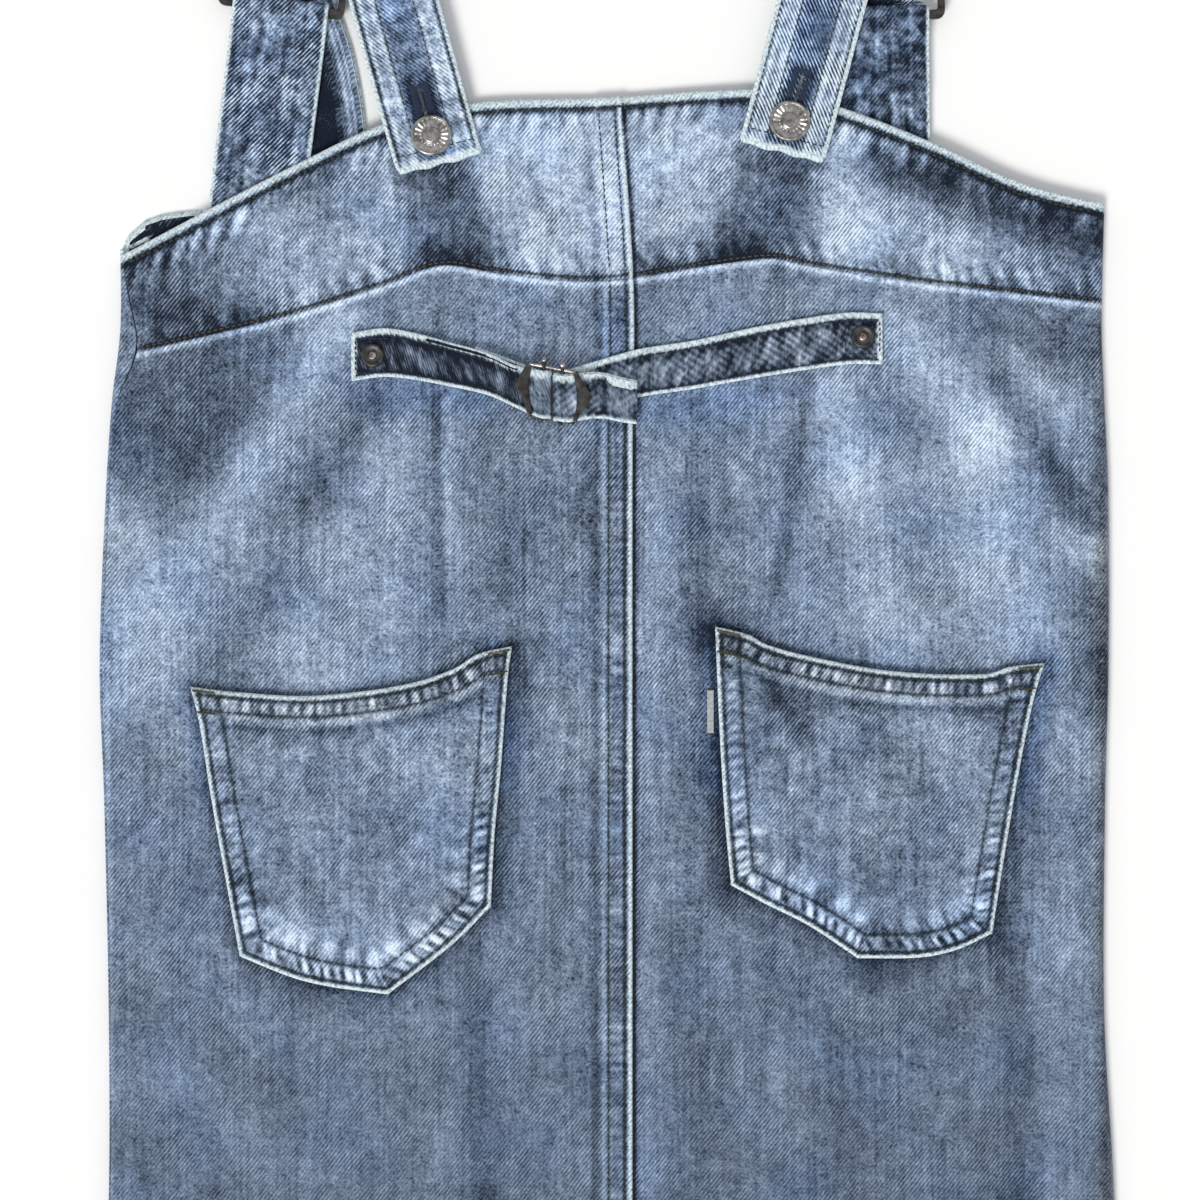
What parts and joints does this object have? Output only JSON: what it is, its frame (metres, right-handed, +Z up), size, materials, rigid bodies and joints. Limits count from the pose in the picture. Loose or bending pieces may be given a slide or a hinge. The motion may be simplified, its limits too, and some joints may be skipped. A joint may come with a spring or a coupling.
{
  "type": "denim suspender skirt",
  "caption": "Denim pinafore skirt laid flat with its back upward: yoke, centre seam, buckled cinch, patch pockets and button-on shoulder straps with sliders.",
  "frame": {"origin": "on the surface it lies on, under the middle of the laid garment's box", "axes": "+X to the wearer's right, +Y from the hem towards the shoulder straps, +Z up, out of the garment's back"},
  "size_m": [0.4656, 1.1314, 0.0132],
  "materials": {
    "denim": "light-wash indigo twill, faded along folds and worn near-white at the edges",
    "tab_cloth": "plain pale woven tape",
    "dark_metal": "blackened, slightly worn",
    "button_metal": "antique silver"
  },
  "bodies": {
    "root": {"front_yoke": "denim", "front_skirt": "denim", "back_yoke_left": "denim", "back_yoke_right": "denim", "back_skirt_left": "denim", "back_skirt_right": "denim", "pocket_left": "denim", "pocket_right": "denim", "pocket_tab": "tab_cloth", "strap_back_left": "denim", "strap_back_right": "denim", "strap_front_left": "denim", "strap_front_right": "denim", "slider_left": "dark_metal", "slider_right": "dark_metal", "button_left": "button_metal", "button_right": "button_metal", "cinch_left": "denim", "cinch_right": "denim", "cinch_buckle": "dark_metal", "rivet_left": "dark_metal", "rivet_right": "dark_metal"}
  },
  "joints": []
}
